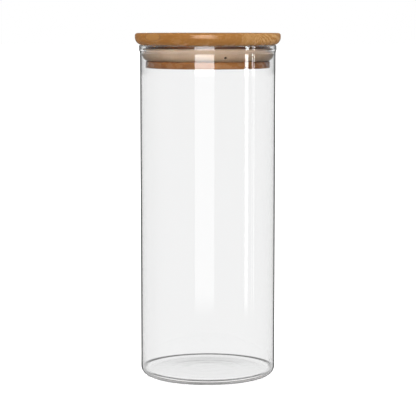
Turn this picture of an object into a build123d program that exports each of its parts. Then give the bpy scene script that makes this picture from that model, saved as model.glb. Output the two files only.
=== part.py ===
from build123d import *
import os

# Lidded glass storage canister. Millimetres, +Z up.
# Origin: centre of the base ring that the jar stands on.

# Glass jar: one thin-walled blown cylinder
JAR_RADIUS = 50.0
JAR_HEIGHT = 245.0
WALL = 1.2
FLOOR_THICKNESS = 4.2
HEEL_RADIUS = 6.0
FLOOR_CORNER_RADIUS = 2.0
BASE_PUSH_UP = 0.8
PUSH_UP_CROWN_ROUND = 850.0
PUSH_UP_FOOT_ROUND = 40.0
REST_RING_WIDTH = 2.5
RIM_PROUD = 0.65
RIM_HEIGHT = 3.8
RIM_FOOT_RUN = 1.6
RIM_FOOT_ROUND = 3.0
RIM_TOP_ROUND_SHARE = 0.49      # of the rim's thickness, so the two top rounds almost meet

# Bamboo disc that covers the rim
DISC_RADIUS = 53.6
DISC_THICKNESS = 8.8
DISC_TOP_ROUND = 1.9
DISC_UNDER_ROUND = 5.7

# Bamboo plug inside the mouth, with a groove for the seal
PLUG_RADIUS = 45.8
PLUG_DEPTH = 16.8
PLUG_ROUND = 0.8
NECK_HEIGHT = 2.4
GROOVE_RADIUS = 42.5
FLANGE_HEIGHT = 5.0

# Silicone seal ring
SEAL_GLASS_GAP = 0.3
SEAL_GROOVE_GAP = 0.1
SEAL_TOP_ROUND = 2.2
SEAL_UNDER_ROUND = 5.5

# Bamboo strips, glued edge to edge into boards
STRIP_WIDTH = 19.5
DISC_GRAIN_ANGLE = -48.0
DISC_FIRST_JOINT = -33.5
PLUG_GRAIN_ANGLE = 4.0
PLUG_FIRST_JOINT = -29.0
CUT_MARGIN = 1.0                # how far the outermost cuts stand outside a board

# Levels and radii that follow from the sizes above
BORE_RADIUS = JAR_RADIUS - WALL
PLUG_BOTTOM = JAR_HEIGHT - PLUG_DEPTH
GROOVE_BOTTOM = PLUG_BOTTOM + FLANGE_HEIGHT
GROOVE_TOP = JAR_HEIGHT - NECK_HEIGHT
OVERSIZE = 4 * JAR_RADIUS


def turned(outline, corner_radii):
    """Solid turned about Z from a closed (radius, height) outline with rounded corners."""
    with BuildSketch(Plane.XZ) as section:
        with BuildLine():
            FilletPolyline(*outline, radius=corner_radii, close=True)
        make_face()
    return revolve(section.sketch, axis=Axis.Z)


def glass_jar():
    """Jar with a rounded heel, a slightly domed base and a thickened, fire-polished rim."""
    rest_ring_outer = JAR_RADIUS - HEEL_RADIUS
    rest_ring_inner = rest_ring_outer - REST_RING_WIDTH
    rim_radius = JAR_RADIUS + RIM_PROUD
    rim_round = RIM_TOP_ROUND_SHARE * (rim_radius - BORE_RADIUS)
    rim_foot = JAR_HEIGHT - RIM_HEIGHT
    corners = [
        ((0, BASE_PUSH_UP), 0),
        ((rest_ring_inner / 2, BASE_PUSH_UP), PUSH_UP_CROWN_ROUND),
        ((rest_ring_inner, 0), PUSH_UP_FOOT_ROUND),
        ((JAR_RADIUS, 0), HEEL_RADIUS),
        ((JAR_RADIUS, rim_foot - RIM_FOOT_RUN), RIM_FOOT_ROUND),
        ((rim_radius, rim_foot), RIM_FOOT_ROUND),
        ((rim_radius, JAR_HEIGHT), rim_round),
        ((BORE_RADIUS, JAR_HEIGHT), rim_round),
        ((BORE_RADIUS, FLOOR_THICKNESS), FLOOR_CORNER_RADIUS),
        ((0, FLOOR_THICKNESS), 0),
    ]
    return turned([point for point, _ in corners], [radius for _, radius in corners])


def seal_ring():
    """D-shaped ring: upright face against the glass, small top round, large lower round."""
    inner = GROOVE_RADIUS + SEAL_GROOVE_GAP
    outer = BORE_RADIUS - SEAL_GLASS_GAP
    bottom = GROOVE_BOTTOM + SEAL_GROOVE_GAP
    top = GROOVE_TOP - SEAL_GROOVE_GAP
    outline = [(inner, bottom), (outer, bottom), (outer, top), (inner, top)]
    return turned(outline, [0, SEAL_UNDER_ROUND, SEAL_TOP_ROUND, 0])


def lid_disc():
    """Round board that rests on the rim, with a large round on its lower edge."""
    top = JAR_HEIGHT + DISC_THICKNESS
    outline = [(0, JAR_HEIGHT), (DISC_RADIUS, JAR_HEIGHT), (DISC_RADIUS, top), (0, top)]
    return turned(outline, [0, DISC_UNDER_ROUND, DISC_TOP_ROUND, 0])


def lid_plug():
    """Round board inside the mouth: a neck, a groove for the seal and a lower flange."""
    corners = [
        ((0, PLUG_BOTTOM), 0),
        ((PLUG_RADIUS, PLUG_BOTTOM), PLUG_ROUND),
        ((PLUG_RADIUS, GROOVE_BOTTOM), PLUG_ROUND),
        ((GROOVE_RADIUS, GROOVE_BOTTOM), 0),
        ((GROOVE_RADIUS, GROOVE_TOP), 0),
        ((PLUG_RADIUS, GROOVE_TOP), 0),
        ((PLUG_RADIUS, JAR_HEIGHT), 0),
        ((0, JAR_HEIGHT), 0),
    ]
    return turned([point for point, _ in corners], [radius for _, radius in corners])


def strips(board, grain_angle, first_joint, board_radius):
    """Cut a round board along its glue joints, which run with the grain."""
    edges = [-board_radius - CUT_MARGIN]
    joint = first_joint
    while joint < board_radius:
        edges.append(joint)
        joint += STRIP_WIDTH
    edges.append(board_radius + CUT_MARGIN)
    cut = []
    for low, high in zip(edges, edges[1:]):
        slab = Box(OVERSIZE, high - low, OVERSIZE)
        place = Rot(0, 0, grain_angle) * Pos(0, (low + high) / 2, JAR_HEIGHT)
        cut.append(board & (place * slab))
    return cut


def save(node, shape):
    shape.label = node
    export_step(shape, f"parts/{node}.step")


os.makedirs("parts", exist_ok=True)
save("glass_jar", glass_jar())
save("seal_ring", seal_ring())
disc_strips = strips(lid_disc(), DISC_GRAIN_ANGLE, DISC_FIRST_JOINT, DISC_RADIUS)
plug_strips = strips(lid_plug(), PLUG_GRAIN_ANGLE, PLUG_FIRST_JOINT, PLUG_RADIUS)
for number, strip in enumerate(disc_strips, start=1):
    save(f"lid_disc_strip_{number}", strip)
for number, strip in enumerate(plug_strips, start=1):
    save(f"lid_plug_strip_{number}", strip)
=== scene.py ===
"""Lidded glass canister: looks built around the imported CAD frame.

Metres, +Z up. The origin is the centre of the ring that the jar stands on.
"""
import math

import bpy
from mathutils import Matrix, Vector


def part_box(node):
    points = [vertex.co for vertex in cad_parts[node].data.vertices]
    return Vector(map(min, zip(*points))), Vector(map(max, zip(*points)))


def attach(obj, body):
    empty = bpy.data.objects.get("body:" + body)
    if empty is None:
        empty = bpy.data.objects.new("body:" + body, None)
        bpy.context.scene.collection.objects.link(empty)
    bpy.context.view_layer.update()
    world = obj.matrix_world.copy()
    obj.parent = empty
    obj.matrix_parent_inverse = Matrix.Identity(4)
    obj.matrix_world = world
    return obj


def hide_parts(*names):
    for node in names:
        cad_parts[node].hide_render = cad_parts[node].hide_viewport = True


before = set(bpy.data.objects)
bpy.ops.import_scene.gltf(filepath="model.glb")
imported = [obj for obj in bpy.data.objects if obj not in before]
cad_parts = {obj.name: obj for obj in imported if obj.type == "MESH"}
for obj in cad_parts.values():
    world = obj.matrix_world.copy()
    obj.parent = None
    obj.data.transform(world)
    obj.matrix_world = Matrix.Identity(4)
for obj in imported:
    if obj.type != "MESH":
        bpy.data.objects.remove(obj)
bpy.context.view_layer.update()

MM = 0.001
_, JAR_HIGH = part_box("glass_jar")
JAR_HEIGHT = JAR_HIGH.z
RIM_RADIUS = JAR_HIGH.x
SEAL_LOW, SEAL_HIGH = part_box("seal_ring")
LID_NODES = sorted(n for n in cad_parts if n.startswith("lid_"))


# ---------------------------------------------------------------- camera

CAMERA_DISTANCE = 1.197
CAMERA_HEIGHT = 0.2594
CAMERA_SIDE = 0.00014
CAMERA_PITCH = math.radians(6.4387)
CAMERA_CLIP = (0.01, 100)
FOCAL_PIXELS = 1619
FRAME_PIXELS = 416
SENSOR = 36.0           # millimetres, as Blender's lens and sensor are


def make_camera():
    data = bpy.data.cameras.new("camera")
    data.sensor_width = SENSOR
    data.lens = FOCAL_PIXELS / FRAME_PIXELS * SENSOR
    data.clip_start, data.clip_end = CAMERA_CLIP
    camera = bpy.data.objects.new("camera", data)
    bpy.context.scene.collection.objects.link(camera)
    camera.location = (CAMERA_SIDE, -CAMERA_DISTANCE, CAMERA_HEIGHT)
    camera.rotation_euler = (math.pi / 2 - CAMERA_PITCH, 0, 0)
    bpy.context.scene.camera = camera


# ---------------------------------------------------------------- turned shapes

ON_AXIS = 1e-9          # points nearer to the axis than this are on it


def arc_points(here, back, ahead, radius, steps):
    """Points of the round at one corner. back and ahead are unit vectors to its neighbours."""
    half = back.angle(ahead) / 2
    reach = radius / math.tan(half)
    centre = here + (back + ahead).normalized() * (radius / math.sin(half))
    start = here + back * reach - centre
    end = here + ahead * reach - centre
    turn = start.angle_signed(end)
    pieces = max(3, round(steps * abs(turn) / (math.pi / 2)))
    first = math.atan2(start.y, start.x)
    angles = [first - turn * k / pieces for k in range(pieces + 1)]
    return [centre + radius * Vector((math.cos(angle), math.sin(angle))) for angle in angles]


def rounded_outline(corners, steps=12):
    """Points of a closed (radius, height) outline. Each corner is (r, z, round).

    steps is the number of pieces in a quarter turn.
    """
    points = []
    for i, (r, z, radius) in enumerate(corners):
        here = Vector((r, z))
        if radius == 0:
            points.append(here)
            continue
        back = (Vector(corners[i - 1][:2]) - here).normalized()
        ahead = (Vector(corners[(i + 1) % len(corners)][:2]) - here).normalized()
        points += arc_points(here, back, ahead, radius, steps)
    return points


def with_supports(points, gap, longest):
    """Adds points near the ends of long straight runs and along them, so smooth shading stays true."""
    out = []
    for here, ahead in zip(points, points[1:] + points[:1]):
        out.append(here)
        length = (ahead - here).length
        if length < 4 * gap or (here.x < ON_AXIS and ahead.x < ON_AXIS):
            continue
        along = (ahead - here) / length
        inner = max(1, math.ceil((length - 2 * gap) / longest))
        for k in range(inner + 1):
            out.append(here + along * (gap + (length - 2 * gap) * k / inner))
    return out


def faces_between(low, high, segments):
    """Faces that join two rings. A ring of one vertex is a point on the axis."""
    faces = []
    if len(low) == 1 and len(high) == 1:
        return faces
    for k in range(segments):
        n = (k + 1) % segments
        if len(low) == 1:
            faces.append((low[0], high[n], high[k]))
        elif len(high) == 1:
            faces.append((low[k], low[n], high[0]))
        else:
            faces.append((low[k], low[n], high[n], high[k]))
    return faces


def turned_mesh(name, outline, segments):
    """Closed mesh turned about Z. The outline runs up the outside and back down the inside."""
    vertices, rings, faces = [], [], []
    for point in outline:
        count = 1 if point.x < ON_AXIS else segments
        radius = 0 if count == 1 else point.x
        rings.append(list(range(len(vertices), len(vertices) + count)))
        for k in range(count):
            angle = 2 * math.pi * k / segments
            vertices.append((radius * math.cos(angle), radius * math.sin(angle), point.y))
    for low, high in zip(rings, rings[1:] + rings[:1]):
        faces += faces_between(low, high, segments)
    mesh = bpy.data.meshes.new(name)
    mesh.from_pydata(vertices, [], faces)
    mesh.validate()
    mesh.shade_smooth()
    return mesh


# ---------------------------------------------------------------- shader nodes

def new_material(name):
    """Material with a lone Principled shader. Returns (material, node tree, shader)."""
    material = bpy.data.materials.new(name)
    material.use_nodes = True
    tree = material.node_tree
    return material, tree, tree.nodes["Principled BSDF"]


class Graph:
    """Short forms for making shader nodes in one tree. A value is a number, a tuple or a socket."""

    def __init__(self, tree):
        self.tree = tree

    def node(self, kind, **settings):
        made = self.tree.nodes.new(kind)
        for key, value in settings.items():
            setattr(made, key, value)
        return made

    def feed(self, socket, value):
        if isinstance(value, bpy.types.NodeSocket):
            self.tree.links.new(value, socket)
        else:
            socket.default_value = value

    def math(self, operation, *values):
        made = self.node("ShaderNodeMath", operation=operation)
        for socket, value in zip(made.inputs, values):
            self.feed(socket, value)
        return made.outputs[0]

    def smooth(self, value, low, high, to_low=0.0, to_high=1.0):
        """Smooth step from to_low at low to to_high at high."""
        made = self.node("ShaderNodeMapRange", interpolation_type="SMOOTHSTEP")
        for socket, given in zip(made.inputs, (value, low, high, to_low, to_high)):
            self.feed(socket, given)
        return made.outputs[0]

    def vector(self, x, y, z):
        made = self.node("ShaderNodeCombineXYZ")
        for socket, value in zip(made.inputs, (x, y, z)):
            self.feed(socket, value)
        return made.outputs[0]

    def split(self, vector):
        made = self.node("ShaderNodeSeparateXYZ")
        self.feed(made.inputs[0], vector)
        return made.outputs

    def length(self, vector):
        made = self.node("ShaderNodeVectorMath", operation="LENGTH")
        self.feed(made.inputs[0], vector)
        return made.outputs["Value"]

    def object_place(self):
        return self.node("ShaderNodeTexCoord").outputs["Object"]

    def noise(self, vector, scale, detail=2.0, roughness=0.5):
        made = self.node("ShaderNodeTexNoise")
        self.feed(made.inputs["Vector"], vector)
        made.inputs["Scale"].default_value = scale
        made.inputs["Detail"].default_value = detail
        made.inputs["Roughness"].default_value = roughness
        return made.outputs["Fac"]

    def turned(self, vector, angle):
        made = self.node("ShaderNodeVectorRotate", rotation_type="Z_AXIS")
        self.feed(made.inputs["Vector"], vector)
        made.inputs["Angle"].default_value = angle
        return made.outputs[0]

    def bump(self, shader, height, strength, distance):
        made = self.node("ShaderNodeBump")
        self.feed(made.inputs["Height"], height)
        made.inputs["Strength"].default_value = strength
        made.inputs["Distance"].default_value = distance
        self.feed(shader.inputs["Normal"], made.outputs[0])

    def choose(self, test, no, yes):
        """Number no where test is 0, yes where it is 1, and between them in proportion."""
        made = self.node("ShaderNodeMix", data_type="FLOAT")
        self.feed(made.inputs["Factor"], test)
        self.feed(made.inputs["A"], no)
        self.feed(made.inputs["B"], yes)
        return made.outputs["Result"]

    def mix(self, factor, first, second):
        """Colour first where factor is 0, second where it is 1."""
        made = self.node("ShaderNodeMix", data_type="RGBA")
        self.feed(made.inputs["Factor"], factor)
        self.feed(made.inputs["A"], first)
        self.feed(made.inputs["B"], second)
        return made.outputs["Result"]

    def stain(self, colour, mask, amount, other):
        """Mixes another colour in by an amount, where the mask says."""
        return self.mix(self.math("MULTIPLY", mask, amount), colour, other)


# ---------------------------------------------------------------- glass

GLASS_COLD = (0.983, 0.985, 0.985, 1)
GLASS_CLEAR = (0.991, 0.992, 0.992, 1)
GLASS_IOR = 1.47
WAVE_SCALE = 55
WAVE_STRETCH = 0.12     # how much slower the waves change along the tube than across it
WAVE_BUMP = 0.15
WAVE_DEPTH = 0.15 * MM


def glass_material():
    """Clear drawn glass: long faint waves along the tube, and a cold tint that varies with them."""
    material, tree, shader = new_material("clear_glass")
    g = Graph(tree)
    x, y, z = g.split(g.object_place())
    waves = g.noise(g.vector(x, y, g.math("MULTIPLY", z, WAVE_STRETCH)), WAVE_SCALE)
    g.feed(shader.inputs["Base Color"], g.mix(waves, GLASS_COLD, GLASS_CLEAR))
    shader.inputs["Transmission Weight"].default_value = 1
    shader.inputs["IOR"].default_value = GLASS_IOR
    shader.inputs["Roughness"].default_value = 0.0
    g.bump(shader, waves, WAVE_BUMP, WAVE_DEPTH)
    return material


# ---------------------------------------------------------------- silicone

# Small vent pit in the seal's face, with painted shade inside it. Its turn is to the right of the front.
VENT_TURN = math.radians(15.0)
VENT_HEIGHT = 236.3 * MM
VENT_HALF_WIDTH = 1.1 * MM
VENT_HALF_HEIGHT = 0.9 * MM
VENT_DEPTH = 1.3 * MM
VENT_EDGE = (0.85, 1.05)        # where its painted shade fades, as a share of its size

SILICONE_LIGHT = (0.530, 0.385, 0.270, 1)
SILICONE_DARK = (0.470, 0.335, 0.230, 1)
SILICONE_PAINTED_SHADE = (0.300, 0.200, 0.120, 1)
VENT_PAINTED_SHADE = (0.030, 0.012, 0.004, 1)
CLOUD_SCALE = 90
CLOUD_RANGE = (0.35, 0.65)      # noise values between which the tone changes
PAINTED_SHADE_HEIGHT = 4 * MM           # painted shade: the ring's lower edge is a little darker
PAINTED_SHADE_AMOUNT = 0.55
PORE_SCALE = 2600
PORE_RANGE = (0.3, 0.7)
PORE_BUMP = 0.25
PORE_DEPTH = 0.03 * MM
SILICONE_ROUGHNESS = (0.38, 0.52)
SILICONE_SPECULAR = 0.2
SILICONE_GLOW = 0.25            # share of the light that scatters inside
GLOW_RADIUS = (1.0, 0.7, 0.5)
GLOW_SCALE = 2 * MM


def vent_shade_mask(g, x, y, z):
    """1 inside the vent pit, by turn about the axis and by height; where its shade is painted."""
    turn = g.math("ARCTAN2", x, g.math("MULTIPLY", y, -1))
    aside = g.math("MULTIPLY", g.math("SUBTRACT", turn, VENT_TURN), SEAL_HIGH.x / VENT_HALF_WIDTH)
    above = g.math("DIVIDE", g.math("SUBTRACT", z, VENT_HEIGHT), VENT_HALF_HEIGHT)
    return g.smooth(g.length(g.vector(aside, above, 0)), *VENT_EDGE, 1, 0)


def silicone_material():
    """Translucent warm grey rubber: cloudy, a little darker low down and in the vent pit from painted
    shade, with fine pores.
    """
    material, tree, shader = new_material("silicone")
    g = Graph(tree)
    place = g.object_place()
    x, y, z = g.split(place)
    cloud = g.smooth(g.noise(place, CLOUD_SCALE, 3), *CLOUD_RANGE)
    tone = g.mix(cloud, SILICONE_DARK, SILICONE_LIGHT)
    # painted shade along the ring's lower edge
    low = g.smooth(z, SEAL_LOW.z, SEAL_LOW.z + PAINTED_SHADE_HEIGHT, 1, 0)
    tone = g.stain(tone, low, PAINTED_SHADE_AMOUNT, SILICONE_PAINTED_SHADE)
    # painted shade in the vent pit
    g.feed(shader.inputs["Base Color"], g.mix(vent_shade_mask(g, x, y, z), tone, VENT_PAINTED_SHADE))
    pores = g.noise(place, PORE_SCALE)
    g.feed(shader.inputs["Roughness"], g.smooth(pores, *PORE_RANGE, *SILICONE_ROUGHNESS))
    shader.inputs["Subsurface Weight"].default_value = SILICONE_GLOW
    shader.inputs["Subsurface Radius"].default_value = GLOW_RADIUS
    shader.inputs["Subsurface Scale"].default_value = GLOW_SCALE
    shader.inputs["Specular IOR Level"].default_value = SILICONE_SPECULAR
    g.bump(shader, pores, PORE_BUMP, PORE_DEPTH)
    return material


# ---------------------------------------------------------------- bamboo

# The boards. Angles are degrees from +X. fan is the (across, height) point from which the bundles in the
# cut ends spread. Strips from number open_from on have open, streaky ends, and the others are dense.
STRIP_WIDTH = 19.5 * MM
DISC_BOARD = {"grain_angle": -48, "first_joint": -33.5 * MM, "fan": (-5 * MM, 258 * MM),
              "open_from": 1, "tint": (1, 1, 1)}
PLUG_BOARD = {"grain_angle": 4, "first_joint": -29 * MM, "fan": (0, 260 * MM),
              "open_from": 9, "tint": (0.64, 0.54, 0.52)}

BAMBOO_PALE = (0.640, 0.360, 0.130, 1)
BAMBOO_END = (0.820, 0.500, 0.210, 1)
BAMBOO_FLESH = (0.460, 0.200, 0.046, 1)
BAMBOO_DEEP = (0.385, 0.155, 0.032, 1)
BAMBOO_GLUE = (0.200, 0.078, 0.018, 1)
NECK_PAINTED_SHADE = (0.130, 0.042, 0.008, 1)      # painted shade on the wood between the seal and the disc

# Noise along the grain changes more slowly than across it, by these factors
FIBRE_STRETCH = 0.02
BUNDLE_STRETCH = 0.035
DRIFT_STRETCH = 0.3
FIBRE_WIDTH = 0.25 * MM
FIBRES_IN_CELL = 6
BUNDLE_WIDTH = 0.9 * MM
BUNDLES_IN_CELL = 4
DRIFT_SCALE = 28
STRIP_SHIFT = 0.37                          # how far strips take their pattern from each other
FIBRE_SHARE = 0.35
BUNDLE_SHARE = 0.65
STREAK_RANGE = (0.36, 0.64)                 # noise values between which the tone changes
DRIFT_RANGE = (0.40, 0.70)

# Cut ends
END_FACING = (0.62, 0.90)                   # how squarely a face must cut the grain to show it
BUNDLE_SPACING = 2.2 * MM
FAN_REACH = 15 * MM                         # distance from the fan's point at which the spacing holds
BUNDLE_EDGE = (0.12, 0.36)                  # where a bundle fades, as shares of the spacing
WAVINESS = 2.2 * MM
WAVINESS_SCALE = 170
SPECKLE_SCALE = 1100
SPECKLE_RANGE = (0.30, 0.62)
DENSE_STREAKS = 0.12                        # strength of the streaks in a dense strip
END_AMOUNT = 0.85
END_FLESH = 0.45

# Knuckles of the cane: half widths of the dark line and its pale shoulder, as shares of the spacing
NODE_SPACING = 190 * MM
NODE_SHIFT = 3                              # spacings over which strips place their knuckles
KNUCKLE_LINE = (0.0015, 0.006)
KNUCKLE_GLOW = (0.006, 0.03)

GLUE_WIDTH = 0.12 * MM
GLUE_CORE = 0.4                             # share of the glue line's width that is fully dark
GLUE_AMOUNT = 0.45

# The neck's painted shade fades in above its foot and ends just under the disc
NECK_FOOT = 242 * MM
NECK_FADE = 0.4 * MM
NECK_TOP = JAR_HEIGHT - 0.1 * MM
NECK_SHADE_AMOUNT = 0.75

# How much each mask colours the wood, then its surface
DRIFT_PALE = 0.30
STRIP_PALE = 0.18
OPEN_PALE = 0.18
KNUCKLE_PALE = 0.2
KNUCKLE_DARK = 0.6
BAMBOO_ROUGHNESS = (0.20, 0.14)             # least, and how much the grain adds
GLUE_ROUGHNESS = 0.15
BAMBOO_SPECULAR = 0.35
END_RELIEF = 0.5
GRAIN_BUMP = 0.3
GRAIN_DEPTH = 0.04 * MM


def fold(g, value):
    """Distance of a value from the middle of its whole step, 0 to 0.5."""
    return g.math("ABSOLUTE", g.math("SUBTRACT", g.math("FRACT", value), 0.5))


def strip_pattern(g, across, first_joint):
    """The strip's number, its own random tone, and a mask of the glue lines."""
    step = g.math("DIVIDE", g.math("SUBTRACT", across, first_joint), STRIP_WIDTH)
    strip = g.math("FLOOR", step)
    inside = g.math("FRACT", step)
    chance = g.node("ShaderNodeTexWhiteNoise", noise_dimensions="1D")
    g.feed(chance.inputs["W"], strip)
    nearest = g.math("MINIMUM", inside, g.math("SUBTRACT", 1, inside))
    edge = g.math("MULTIPLY", nearest, STRIP_WIDTH)
    glue = g.smooth(edge, GLUE_WIDTH * GLUE_CORE, GLUE_WIDTH, 1, 0)
    return strip, chance.outputs["Value"], glue


def long_grain(g, along, across, height, shift):
    """Streaks of bundles and fibres, and a slow drift of tone, all stretched along the grain."""
    def stretched(factor, *noise):
        place = g.vector(g.math("MULTIPLY_ADD", along, factor, shift), across, height)
        return g.noise(place, *noise)

    fibres = stretched(FIBRE_STRETCH, 1 / FIBRE_WIDTH / FIBRES_IN_CELL, 3, 0.6)
    bundles = stretched(BUNDLE_STRETCH, 1 / BUNDLE_WIDTH / BUNDLES_IN_CELL)
    drift = stretched(DRIFT_STRETCH, DRIFT_SCALE)
    streak = g.math("MULTIPLY_ADD", bundles, BUNDLE_SHARE, g.math("MULTIPLY", fibres, FIBRE_SHARE))
    return streak, drift


def end_streaks(g, across, height, shift, fan, is_open):
    """Rows of bundles in the cut ends, which show as wavy pale streaks across each strip."""
    centre_across, centre_height = fan
    place = g.vector(shift, across, height)
    wave = g.noise(place, WAVINESS_SCALE, 1)
    off_across = g.math("SUBTRACT", across, centre_across)
    off_height = g.math("SUBTRACT", centre_height, height)
    bearing = g.math("ARCTAN2", off_across, off_height)
    run = g.math("MULTIPLY_ADD", bearing, FAN_REACH, g.math("MULTIPLY", wave, WAVINESS))
    row = fold(g, g.math("DIVIDE", run, BUNDLE_SPACING))
    streaks = g.smooth(row, *BUNDLE_EDGE, 1, 0)
    speckle = g.noise(place, SPECKLE_SCALE, 2, 0.6)
    streaks = g.math("MULTIPLY", streaks, g.smooth(speckle, *SPECKLE_RANGE))
    return g.math("MULTIPLY", streaks, g.choose(is_open, DENSE_STREAKS, 1.0))


def knuckle_masks(g, along, own_tone):
    """Masks of the knuckle's dark line and its pale shoulder, at a different place on each strip."""
    place = g.math("MULTIPLY_ADD", own_tone, NODE_SPACING * NODE_SHIFT, along)
    away = fold(g, g.math("DIVIDE", place, NODE_SPACING))
    return g.smooth(away, *KNUCKLE_LINE, 1, 0), g.smooth(away, *KNUCKLE_GLOW, 1, 0)


def neck_shade_mask(g, height):
    """1 on the plug's neck, between the seal and the disc, where shade is painted."""
    above = g.smooth(height, NECK_FOOT, NECK_FOOT + NECK_FADE)
    return g.math("MULTIPLY", above, g.math("LESS_THAN", height, NECK_TOP))


def bamboo_material(name, grain_angle, first_joint, fan, open_from, tint):
    """Oiled bamboo board of glued strips, with a grain that runs along one line, and painted shade on
    the plug's neck.
    """
    material, tree, shader = new_material(name)
    g = Graph(tree)
    turn = -math.radians(grain_angle)
    along, across, height = g.split(g.turned(g.object_place(), turn))
    normal = g.node("ShaderNodeNewGeometry").outputs["Normal"]
    facing = g.split(g.turned(normal, turn))[0]
    end_grain = g.smooth(g.math("ABSOLUTE", facing), *END_FACING)

    strip, own_tone, glue = strip_pattern(g, across, first_joint)
    shift = g.math("MULTIPLY", own_tone, STRIP_SHIFT)
    is_open = g.math("GREATER_THAN", strip, open_from - 0.5)
    streak, drift = long_grain(g, along, across, height, shift)
    streaks = end_streaks(g, across, height, shift, fan, is_open)
    knuckle_line, knuckle_glow = knuckle_masks(g, along, own_tone)

    colour = g.mix(g.smooth(streak, *STREAK_RANGE), BAMBOO_DEEP, BAMBOO_FLESH)
    colour = g.stain(colour, g.smooth(drift, *DRIFT_RANGE), DRIFT_PALE, BAMBOO_PALE)
    colour = g.stain(colour, own_tone, STRIP_PALE, BAMBOO_PALE)
    colour = g.stain(colour, is_open, OPEN_PALE, BAMBOO_PALE)
    colour = g.stain(colour, knuckle_glow, KNUCKLE_PALE, BAMBOO_PALE)
    colour = g.stain(colour, knuckle_line, KNUCKLE_DARK, BAMBOO_DEEP)
    ends = g.mix(streaks, g.mix(END_FLESH, colour, BAMBOO_FLESH), BAMBOO_END)
    colour = g.stain(colour, end_grain, END_AMOUNT, ends)
    colour = g.stain(colour, glue, GLUE_AMOUNT, BAMBOO_GLUE)
    # painted shade: the neck between the seal and the disc is darkened as if in shadow
    colour = g.stain(colour, neck_shade_mask(g, height), NECK_SHADE_AMOUNT, NECK_PAINTED_SHADE)
    tinted = g.node("ShaderNodeVectorMath", operation="MULTIPLY")
    g.feed(tinted.inputs[0], colour)
    tinted.inputs[1].default_value = tint
    g.feed(shader.inputs["Base Color"], tinted.outputs[0])

    least, added = BAMBOO_ROUGHNESS
    rough = g.math("MULTIPLY_ADD", streak, added, least)
    g.feed(shader.inputs["Roughness"], g.math("MULTIPLY_ADD", glue, GLUE_ROUGHNESS, rough))
    shader.inputs["Specular IOR Level"].default_value = BAMBOO_SPECULAR
    end_relief = g.math("MULTIPLY", end_grain, END_RELIEF)
    relief = g.math("SUBTRACT", g.math("MULTIPLY_ADD", streaks, end_relief, streak), glue)
    g.bump(shader, relief, GRAIN_BUMP, GRAIN_DEPTH)
    return material


# ---------------------------------------------------------------- pieces

# The jar's profile, as in the CAD
WALL = 1.2 * MM
JAR_RADIUS = 50 * MM
BORE = JAR_RADIUS - WALL
FLOOR = 4.2 * MM
FLOOR_CORNER = 2 * MM
HEEL = 6 * MM
PUSH_UP = 0.8 * MM
PUSH_UP_ROUND = 850 * MM
REST_RING_ROUND = 40 * MM
REST_RING = 2.5 * MM
RIM_BAND = 3.8 * MM
RIM_FOOT_RUN = 1.6 * MM
RIM_FOOT_ROUND = 3 * MM
RIM_TOP_ROUND_SHARE = 0.49
JAR_SEGMENTS = 256
JAR_LONGEST_RUN = 10 * MM

# The seal's profile, as in the CAD. Its mesh is fine enough to carry the vent pit.
SEAL_INNER = 42.6 * MM
SEAL_UNDER_ROUND = 5.5 * MM
SEAL_TOP_ROUND = 2.2 * MM
SEAL_FACE_DEPTH = 3 * MM        # only vertices this near to the outside can be in the pit
SEAL_SEGMENTS = 768
SEAL_STEPS = 24
SEAL_LONGEST_RUN = 0.35 * MM

SUPPORT_GAP = 0.2 * MM


def add_piece(name, mesh, material, body, slot, *nodes):
    piece = bpy.data.objects.new(name, mesh)
    bpy.context.scene.collection.objects.link(piece)
    mesh.materials.append(material)
    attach(piece, body)
    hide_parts(*nodes)
    return piece


def make_jar():
    rest_outer = JAR_RADIUS - HEEL
    rest_inner = rest_outer - REST_RING
    rim_round = RIM_TOP_ROUND_SHARE * (RIM_RADIUS - BORE)
    corners = [
        (0, PUSH_UP, 0),
        (rest_inner / 2, PUSH_UP, PUSH_UP_ROUND),
        (rest_inner, 0, REST_RING_ROUND),
        (JAR_RADIUS, 0, HEEL),
        (JAR_RADIUS, JAR_HEIGHT - RIM_BAND - RIM_FOOT_RUN, RIM_FOOT_ROUND),
        (RIM_RADIUS, JAR_HEIGHT - RIM_BAND, RIM_FOOT_ROUND),
        (RIM_RADIUS, JAR_HEIGHT, rim_round),
        (BORE, JAR_HEIGHT, rim_round),
        (BORE, FLOOR, FLOOR_CORNER),
        (0, FLOOR, 0),
    ]
    outline = with_supports(rounded_outline(corners), SUPPORT_GAP, JAR_LONGEST_RUN)
    mesh = turned_mesh("jar", outline, JAR_SEGMENTS)
    add_piece("jar", mesh, glass_material(), "jar", "glass", "glass_jar")


def press_vent(mesh, outer):
    """Pushes the seal's vertices inward to form the vent pit."""
    for vertex in mesh.vertices:
        if vertex.co.xy.length < outer - SEAL_FACE_DEPTH:
            continue
        turn = math.atan2(vertex.co.x, -vertex.co.y)
        aside = (turn - VENT_TURN) * outer / VENT_HALF_WIDTH
        above = (vertex.co.z - VENT_HEIGHT) / VENT_HALF_HEIGHT
        away = math.hypot(aside, above)
        if away < 1:
            inward = VENT_DEPTH * (1 - away * away) ** 0.5
            vertex.co.xy *= 1 - inward / vertex.co.xy.length


def make_seal():
    outer, low, high = SEAL_HIGH.x, SEAL_LOW.z, SEAL_HIGH.z
    corners = [(SEAL_INNER, low, 0), (outer, low, SEAL_UNDER_ROUND),
               (outer, high, SEAL_TOP_ROUND), (SEAL_INNER, high, 0)]
    outline = with_supports(rounded_outline(corners, SEAL_STEPS), SUPPORT_GAP, SEAL_LONGEST_RUN)
    mesh = turned_mesh("seal", outline, SEAL_SEGMENTS)
    press_vent(mesh, outer)
    add_piece("seal", mesh, silicone_material(), "seal", "silicone", "seal_ring")


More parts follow.
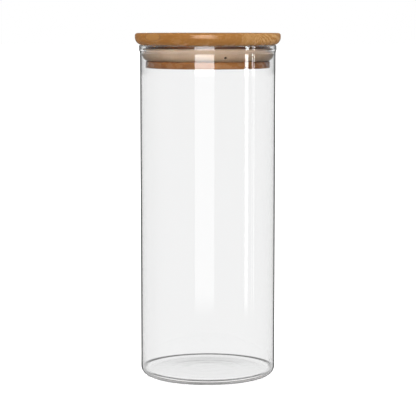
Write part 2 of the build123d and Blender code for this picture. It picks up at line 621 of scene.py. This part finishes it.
def dress_lid():
    """The lid keeps its CAD meshes and gets the bamboo of its two boards."""
    disc_bamboo = bamboo_material("disc_bamboo", **DISC_BOARD)
    plug_bamboo = bamboo_material("plug_bamboo", **PLUG_BOARD)
    for name in LID_NODES:
        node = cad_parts[name]
        node.data.materials.clear()
        node.data.materials.append(disc_bamboo if "disc" in name else plug_bamboo)


# ---------------------------------------------------------------- studio

# The surroundings are one soft white tent. Each kind of ray sees the part of the set that it would meet.
# Angles are degrees: turn 0 is the front, positive to the right, and 180 is straight behind. rise is up.

# Brightness that the outer faces mirror, by turn to the left and to the right
MIRRORED_LEFT = [(0, 0.20), (40, 0.25), (80, 0.45), (105, 0.55), (125, 1.1), (149, 1.2), (156, 0.05),
                 (172, 0.05), (176, 1.0), (180, 1.0)]
MIRRORED_RIGHT = [(0, 0.20), (40, 0.25), (90, 0.55), (125, 1.1), (149, 1.2), (156, 0.05), (168, 0.05),
                  (173, 1.0), (180, 1.0)]
TENT_TOP = 1.15
TENT_TOP_RISE = (20, 40)        # where the side walls pass into the top
BESIDE_LID = 0.3                # factor on the side walls above the panels' step

# Light panels: centre turn, half width, brightness above the step in rise, and brightness below it
PANELS = [
    (-5.4, 16.2, 12.0, 2.2),
    (68.6, 3.4, 22.0, 3.6),
    (80.4, 1.0, 14.0, 1.5),
    (84.4, 1.0, 14.0, 2.5),
]
PANEL_SIDE_FADE = 0.3
PANEL_STEP = -1.72
PANEL_STEP_FADE = 0.1
PANEL_FOOT = -9.9
PANEL_FOOT_FADE = 0.6
PANEL_TOP = (45, 50)

# What satin surfaces mirror: a dim tent, and one panel's centre turn, half width and brightness
SATIN_TENT = 0.15
SATIN_PANEL = (-5.4, 16.2, 12.0)
SATIN_SIDE_FADE = 2
SATIN_FOOT = (-12, -8)

# Brightness for light that went straight through the glass, was mirrored once inside the jar,
# or was mirrored once or more within the glass wall. TABLE holds for the wall outside the trapped rises.
CLEAR = 0.98
INNER = 0.80
TRAPPED = 0.10
MANY_TIMES = 0.45
TABLE = 0.95
TRAPPED_FROM = (-17, -15)
TRAPPED_TO = (2, 5)

# Diffuse light, from the lower to the upper rise
SOFT_RISE = (-20, 60)
SOFT_LEVEL = (0.75, 1.25)

FLOOR_HALF = 20
FLOOR_DROP = -0.05 * MM         # just under the jar, so that the two don't share a plane
FLOOR_GREY = (0.9, 0.9, 0.9, 1)
FLOOR_GLOW = 0.8
WHITE = (1, 1, 1, 1)

# Shade on the table close round the foot: radii where it starts, is dark from and to, and has gone
FOOT_SHADE = (48.5 * MM, 50 * MM, 54 * MM, 60 * MM)
FOOT_SHADE_LEVEL = 0.1

# Enough bounces for light that runs on inside the glass
BOUNCES = 32


def ramp(g, angle, stops):
    """Grey level by angle in degrees, straight between (angle, level) stops."""
    made = g.node("ShaderNodeValToRGB")
    g.feed(made.inputs[0], g.math("DIVIDE", angle, 180))
    elements = made.color_ramp.elements
    first, last = stops[0][1], stops[-1][1]
    elements[0].color = (first, first, first, 1)
    elements[1].color = (last, last, last, 1)
    for place, level in stops[1:-1]:
        elements.new(place / 180).color = (level, level, level, 1)
    return made.outputs[0]


def around(g, value, middle, fade, *levels):
    """Smooth step centred on a value."""
    return g.smooth(value, middle - fade, middle + fade, *levels)


def mirrored_level(g, turn, rise):
    """Brightness of what the outer faces mirror: the tent's side walls, its top and the panels."""
    aside = g.math("ABSOLUTE", turn)
    right = g.math("GREATER_THAN", turn, 0)
    level = g.choose(right, ramp(g, aside, MIRRORED_LEFT), ramp(g, aside, MIRRORED_RIGHT))
    beside_lid = around(g, rise, PANEL_STEP, PANEL_STEP_FADE)
    level = g.math("MULTIPLY", level, g.choose(beside_lid, 1.0, BESIDE_LID))
    level = g.choose(g.smooth(rise, *TENT_TOP_RISE), level, TENT_TOP)
    foot = around(g, rise, PANEL_FOOT, PANEL_FOOT_FADE)
    height = g.math("MULTIPLY", foot, g.smooth(rise, *PANEL_TOP, 1, 0))
    for centre, half, upper, lower in PANELS:
        across = g.math("ABSOLUTE", g.math("SUBTRACT", turn, centre))
        strength = around(g, rise, PANEL_STEP, PANEL_STEP_FADE, lower, upper)
        inside = g.math("MULTIPLY", around(g, across, half, PANEL_SIDE_FADE, 1, 0), height)
        level = g.math("MULTIPLY_ADD", inside, strength, level)
    return level


def satin_level(g, turn, rise):
    """Brightness that satin wood and rubber mirror softly: a dim tent with one wide panel in front."""
    centre, half, strength = SATIN_PANEL
    across = g.math("ABSOLUTE", g.math("SUBTRACT", turn, centre))
    sides = around(g, across, half, SATIN_SIDE_FADE, 1, 0)
    inside = g.math("MULTIPLY", sides, g.smooth(rise, *SATIN_FOOT))
    inside = g.math("MULTIPLY", inside, g.smooth(rise, *PANEL_TOP, 1, 0))
    return g.math("MULTIPLY_ADD", inside, strength, SATIN_TENT)


def glass_level(g, path, rise):
    """Brightness of what light meets on leaving the glass, by how often it was mirrored inside.

    A path that was mirrored but crossed glass no more than twice stayed within one wall.
    """
    mirrored = path["Glossy Depth"]
    within = g.math("LESS_THAN", path["Transmission Depth"], 2.5)
    once_or_more = g.math("GREATER_THAN", mirrored, 0.5)
    in_wall = g.math("MULTIPLY", g.math("COMPARE", mirrored, 1, 0.5), within)
    many = g.math("MULTIPLY", g.math("GREATER_THAN", mirrored, 2.5), within)
    table = g.math("MAXIMUM", g.smooth(rise, *TRAPPED_FROM, 1, 0), g.smooth(rise, *TRAPPED_TO))
    level = g.choose(once_or_more, CLEAR, INNER)
    level = g.choose(in_wall, level, g.choose(table, TRAPPED, TABLE))
    return g.choose(many, level, MANY_TIMES)


def make_world():
    world = bpy.data.worlds.new("studio")
    bpy.context.scene.world = world
    world.cycles.sampling_method = "NONE"
    world.use_nodes = True
    background = world.node_tree.nodes["Background"]
    g = Graph(world.node_tree)
    x, y, z = g.split(g.node("ShaderNodeTexCoord").outputs["Generated"])
    turn = g.math("DEGREES", g.math("ARCTAN2", x, g.math("MULTIPLY", y, -1)))
    rise = g.math("DEGREES", g.math("ARCSINE", z))
    path = g.node("ShaderNodeLightPath").outputs
    through = g.math("GREATER_THAN", path["Transmission Depth"], 0.5)
    sharp = g.choose(through, mirrored_level(g, turn, rise), glass_level(g, path, rise))
    soft = g.smooth(rise, *SOFT_RISE, *SOFT_LEVEL)
    level = g.choose(path["Is Glossy Ray"], soft, satin_level(g, turn, rise))
    level = g.choose(path["Is Singular Ray"], level, sharp)
    g.feed(background.inputs["Strength"], g.choose(path["Is Camera Ray"], level, 1.0))
    background.inputs["Color"].default_value = WHITE


def switch(g, test, no, yes):
    """Shader no where test is 0, yes where it is 1."""
    made = g.node("ShaderNodeMixShader")
    for socket, value in zip(made.inputs, (test, no, yes)):
        g.feed(socket, value)
    return made.outputs[0]


def floor_material():
    """Pale table. Light that comes straight through the glass also meets the shade round the foot."""
    material, tree, shader = new_material("floor")
    shader.inputs["Base Color"].default_value = FLOOR_GREY
    shader.inputs["Roughness"].default_value = 1
    shader.inputs["Specular IOR Level"].default_value = 0
    shader.inputs["Emission Color"].default_value = WHITE
    shader.inputs["Emission Strength"].default_value = FLOOR_GLOW
    g = Graph(tree)
    radius = g.length(g.object_place())
    start, dark, light, end = FOOT_SHADE
    shade = g.math("MULTIPLY", g.smooth(radius, start, dark), g.smooth(radius, light, end, 1, 0))
    glow = g.node("ShaderNodeEmission")
    g.feed(glow.inputs["Strength"], g.choose(shade, CLEAR, FOOT_SHADE_LEVEL))
    clear = g.node("ShaderNodeBsdfTransparent")
    path = g.node("ShaderNodeLightPath").outputs
    mirrored = g.math("GREATER_THAN", path["Glossy Depth"], 0.5)
    beyond = switch(g, mirrored, glow.outputs[0], clear.outputs[0])
    seen = switch(g, path["Is Camera Ray"], beyond, shader.outputs[0])
    g.feed(tree.nodes["Material Output"].inputs["Surface"], seen)
    return material


def make_floor():
    corners = [(-1, -1), (1, -1), (1, 1), (-1, 1)]
    mesh = bpy.data.meshes.new("floor")
    vertices = [(x * FLOOR_HALF, y * FLOOR_HALF, FLOOR_DROP) for x, y in corners]
    mesh.from_pydata(vertices, [], [(0, 1, 2, 3)])
    mesh.materials.append(floor_material())
    floor = bpy.data.objects.new("floor", mesh)
    bpy.context.scene.collection.objects.link(floor)
    floor.visible_glossy = False
    floor.visible_diffuse = False


make_camera()
make_jar()
make_seal()
dress_lid()
make_world()
make_floor()

cycles = bpy.context.scene.cycles
cycles.max_bounces = BOUNCES
cycles.transmission_bounces = BOUNCES
cycles.glossy_bounces = BOUNCES
bpy.context.scene.view_settings.view_transform = "Standard"

bpy.context.view_layer.update()
